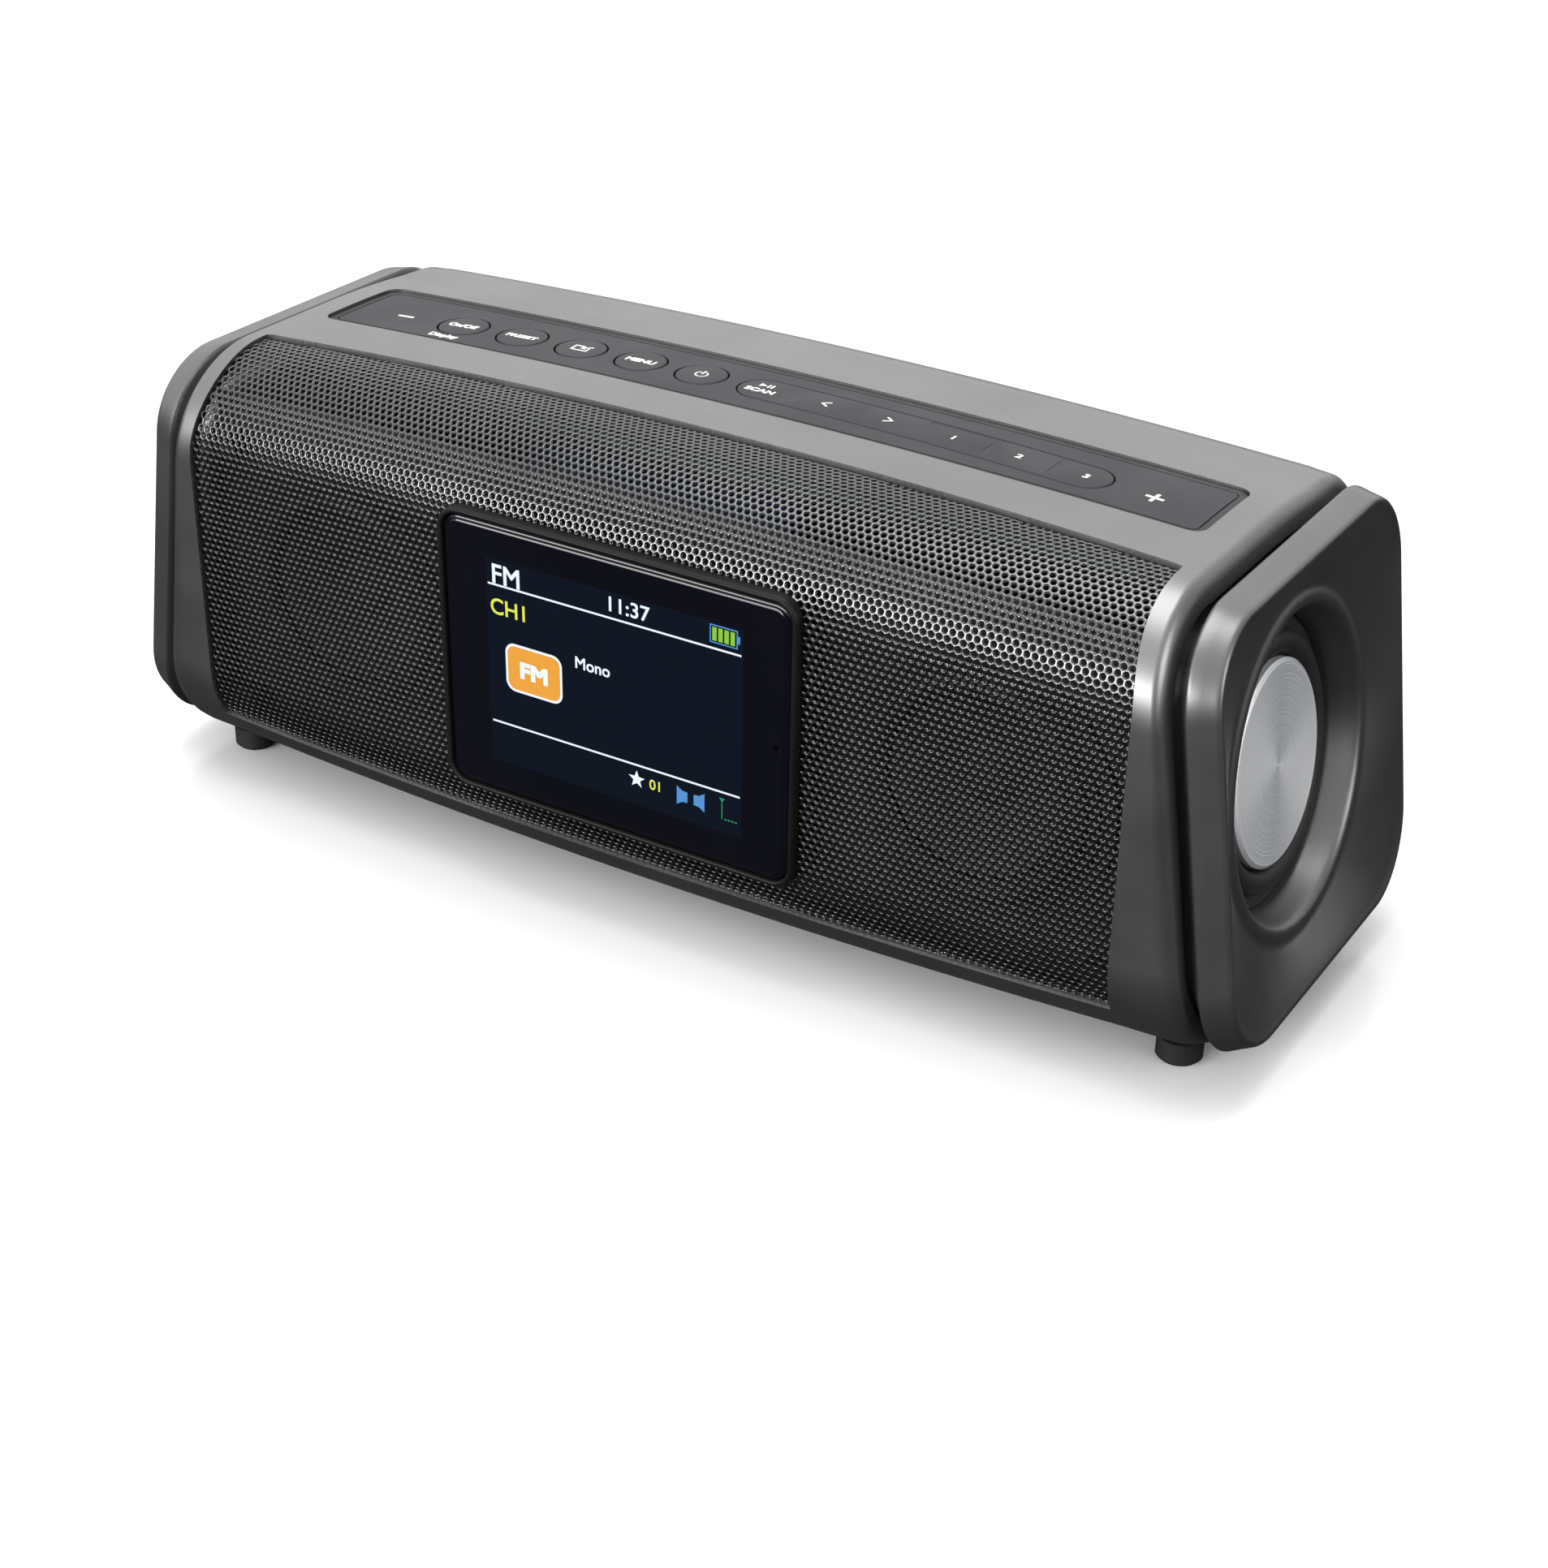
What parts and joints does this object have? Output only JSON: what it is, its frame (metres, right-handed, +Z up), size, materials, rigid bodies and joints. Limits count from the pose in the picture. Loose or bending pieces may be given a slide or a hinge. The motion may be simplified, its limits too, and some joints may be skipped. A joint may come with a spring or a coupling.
{
  "type": "portable tabletop radio",
  "caption": "Portable tabletop radio: bowed plastic case with a wrap-around perforated grille, colour display, top keypad, side passive radiators and a folding rear aerial.",
  "frame": {"origin": "on the table, under the middle of the case", "axes": "+X along the length to the right seen from the front, -Y is the front face with the display, +Z up"},
  "size_m": [0.2562, 0.0988, 0.0976],
  "materials": {
    "shell_plastic": "satin painted, dark metallic grey",
    "grille_metal": "gloss black, perforated",
    "black_plastic": "fine matt",
    "display_glass": "gloss, clear over black",
    "lcd_glass": "lit colour screen",
    "key_rubber": "matt silicone with white print",
    "rubber": "matt",
    "spun_aluminium": "spun, fine concentric lines",
    "pressed_steel": "zinc plated",
    "magnet_iron": "sintered",
    "cone_paper": "pressed fibre",
    "circuit_board": "solder mask",
    "battery_wrap": "shrink wrap",
    "chrome_tube": "polished",
    "screw_steel": "zinc plated"
  },
  "bodies": {
    "case": {"front_frame": "shell_plastic", "rear_housing": "shell_plastic", "end_cap_left": "shell_plastic", "end_cap_right": "shell_plastic", "grille": "grille_metal", "display_rim": "black_plastic", "lcd_holder": "black_plastic", "speaker_baffle": "black_plastic", "port_plate": "black_plastic", "dc_socket": "black_plastic", "audio_sockets": "black_plastic", "radiator_frame_left": "black_plastic", "radiator_frame_right": "black_plastic", "tact_switches": "black_plastic", "display_window": "display_glass", "lcd_panel": "lcd_glass", "keypad_mat": "key_rubber", "radiator_surround_left": "rubber", "radiator_surround_right": "rubber", "driver_surround_left": "rubber", "driver_surround_right": "rubber", "feet": "rubber", "driver_basket_left": "pressed_steel", "driver_basket_right": "pressed_steel", "tuner_module": "pressed_steel", "usb_socket": "pressed_steel", "driver_magnet_left": "magnet_iron", "driver_magnet_right": "magnet_iron", "main_board": "circuit_board", "keypad_board": "circuit_board", "port_board": "circuit_board", "battery_pack": "battery_wrap", "case_screws": "screw_steel"},
    "key_minus": {"key_minus": "key_rubber"},
    "key_display": {"key_display": "key_rubber"},
    "key_preset": {"key_preset": "key_rubber"},
    "key_source": {"key_source": "key_rubber"},
    "key_menu": {"key_menu": "key_rubber"},
    "key_power": {"key_power": "key_rubber"},
    "key_play": {"key_play": "key_rubber"},
    "key_previous": {"key_previous": "key_rubber"},
    "key_next": {"key_next": "key_rubber"},
    "key_1": {"key_1": "key_rubber"},
    "key_2": {"key_2": "key_rubber"},
    "key_3": {"key_3": "key_rubber"},
    "key_plus": {"key_plus": "key_rubber"},
    "radiator_disc_left": {"radiator_disc_left": "spun_aluminium"},
    "driver_cone_left": {"driver_cone_left": "cone_paper"},
    "radiator_disc_right": {"radiator_disc_right": "spun_aluminium"},
    "driver_cone_right": {"driver_cone_right": "cone_paper"},
    "aerial_base": {"aerial_swivel": "chrome_tube"},
    "aerial_arm": {"aerial_elbow": "chrome_tube", "aerial_tube_1": "chrome_tube"},
    "aerial_tube_2": {"aerial_tube_2": "chrome_tube"},
    "aerial_tube_3": {"aerial_tube_3": "chrome_tube"},
    "aerial_rod": {"aerial_rod": "chrome_tube"}
  },
  "joints": [
    {"name": "key_minus_press", "type": "slide", "parent": "case", "child": "key_minus", "axis": [0.0321, 0, -0.9995], "range_m": [0, 0.0008], "stiffness_N_per_m": 600},
    {"name": "key_display_press", "type": "slide", "parent": "case", "child": "key_display", "axis": [0.0268, 0, -0.9996], "range_m": [0, 0.0008], "stiffness_N_per_m": 600},
    {"name": "key_preset_press", "type": "slide", "parent": "case", "child": "key_preset", "axis": [0.0214, 0, -0.9998], "range_m": [0, 0.0008], "stiffness_N_per_m": 600},
    {"name": "key_source_press", "type": "slide", "parent": "case", "child": "key_source", "axis": [0.0161, 0, -0.9999], "range_m": [0, 0.0008], "stiffness_N_per_m": 600},
    {"name": "key_menu_press", "type": "slide", "parent": "case", "child": "key_menu", "axis": [0.0107, 0, -0.9999], "range_m": [0, 0.0008], "stiffness_N_per_m": 600},
    {"name": "key_power_press", "type": "slide", "parent": "case", "child": "key_power", "axis": [0.0054, 0, -1], "range_m": [0, 0.0008], "stiffness_N_per_m": 600},
    {"name": "key_play_press", "type": "slide", "parent": "case", "child": "key_play", "axis": [0, 0, -1], "range_m": [0, 0.0008], "stiffness_N_per_m": 600},
    {"name": "key_previous_press", "type": "slide", "parent": "case", "child": "key_previous", "axis": [-0.0054, 0, -1], "range_m": [0, 0.0008], "stiffness_N_per_m": 600},
    {"name": "key_next_press", "type": "slide", "parent": "case", "child": "key_next", "axis": [-0.0107, 0, -0.9999], "range_m": [0, 0.0008], "stiffness_N_per_m": 600},
    {"name": "key_1_press", "type": "slide", "parent": "case", "child": "key_1", "axis": [-0.0161, 0, -0.9999], "range_m": [0, 0.0008], "stiffness_N_per_m": 600},
    {"name": "key_2_press", "type": "slide", "parent": "case", "child": "key_2", "axis": [-0.0214, 0, -0.9998], "range_m": [0, 0.0008], "stiffness_N_per_m": 600},
    {"name": "key_3_press", "type": "slide", "parent": "case", "child": "key_3", "axis": [-0.0268, 0, -0.9996], "range_m": [0, 0.0008], "stiffness_N_per_m": 600},
    {"name": "key_plus_press", "type": "slide", "parent": "case", "child": "key_plus", "axis": [-0.0321, 0, -0.9995], "range_m": [0, 0.0008], "stiffness_N_per_m": 600},
    {"name": "radiator_left_stroke", "type": "slide", "parent": "case", "child": "radiator_disc_left", "axis": [-0.9889, 0, 0.1483], "range_m": [-0.002, 0.002], "stiffness_N_per_m": 900, "deforming": ["radiator_surround_left"]},
    {"name": "driver_left_stroke", "type": "slide", "parent": "case", "child": "driver_cone_left", "axis": [0, -1, 0], "range_m": [-0.0015, 0.0015], "stiffness_N_per_m": 1200, "deforming": ["driver_surround_left"]},
    {"name": "radiator_right_stroke", "type": "slide", "parent": "case", "child": "radiator_disc_right", "axis": [0.9889, 0, 0.1483], "range_m": [-0.002, 0.002], "stiffness_N_per_m": 900, "deforming": ["radiator_surround_right"]},
    {"name": "driver_right_stroke", "type": "slide", "parent": "case", "child": "driver_cone_right", "axis": [0, -1, 0], "range_m": [-0.0015, 0.0015], "stiffness_N_per_m": 1200, "deforming": ["driver_surround_right"]},
    {"name": "aerial_turn", "type": "hinge", "parent": "case", "child": "aerial_base", "pos_m": [0.083, 0.045, 0.073], "axis": [1, 0, 0], "range_deg": [0, 90]},
    {"name": "aerial_fold", "type": "hinge", "parent": "aerial_base", "child": "aerial_arm", "pos_m": [0.083, 0.045, 0.073], "axis": [0, 0, -1], "range_deg": [0, 90]},
    {"name": "aerial_tube_2_slide", "type": "slide", "parent": "aerial_arm", "child": "aerial_tube_2", "axis": [-1, 0, 0], "range_m": [0, 0.128]},
    {"name": "aerial_tube_3_slide", "type": "slide", "parent": "aerial_tube_2", "child": "aerial_tube_3", "axis": [-1, 0, 0], "range_m": [0, 0.128]},
    {"name": "aerial_rod_slide", "type": "slide", "parent": "aerial_tube_3", "child": "aerial_rod", "axis": [-1, 0, 0], "range_m": [0, 0.128]}
  ]
}
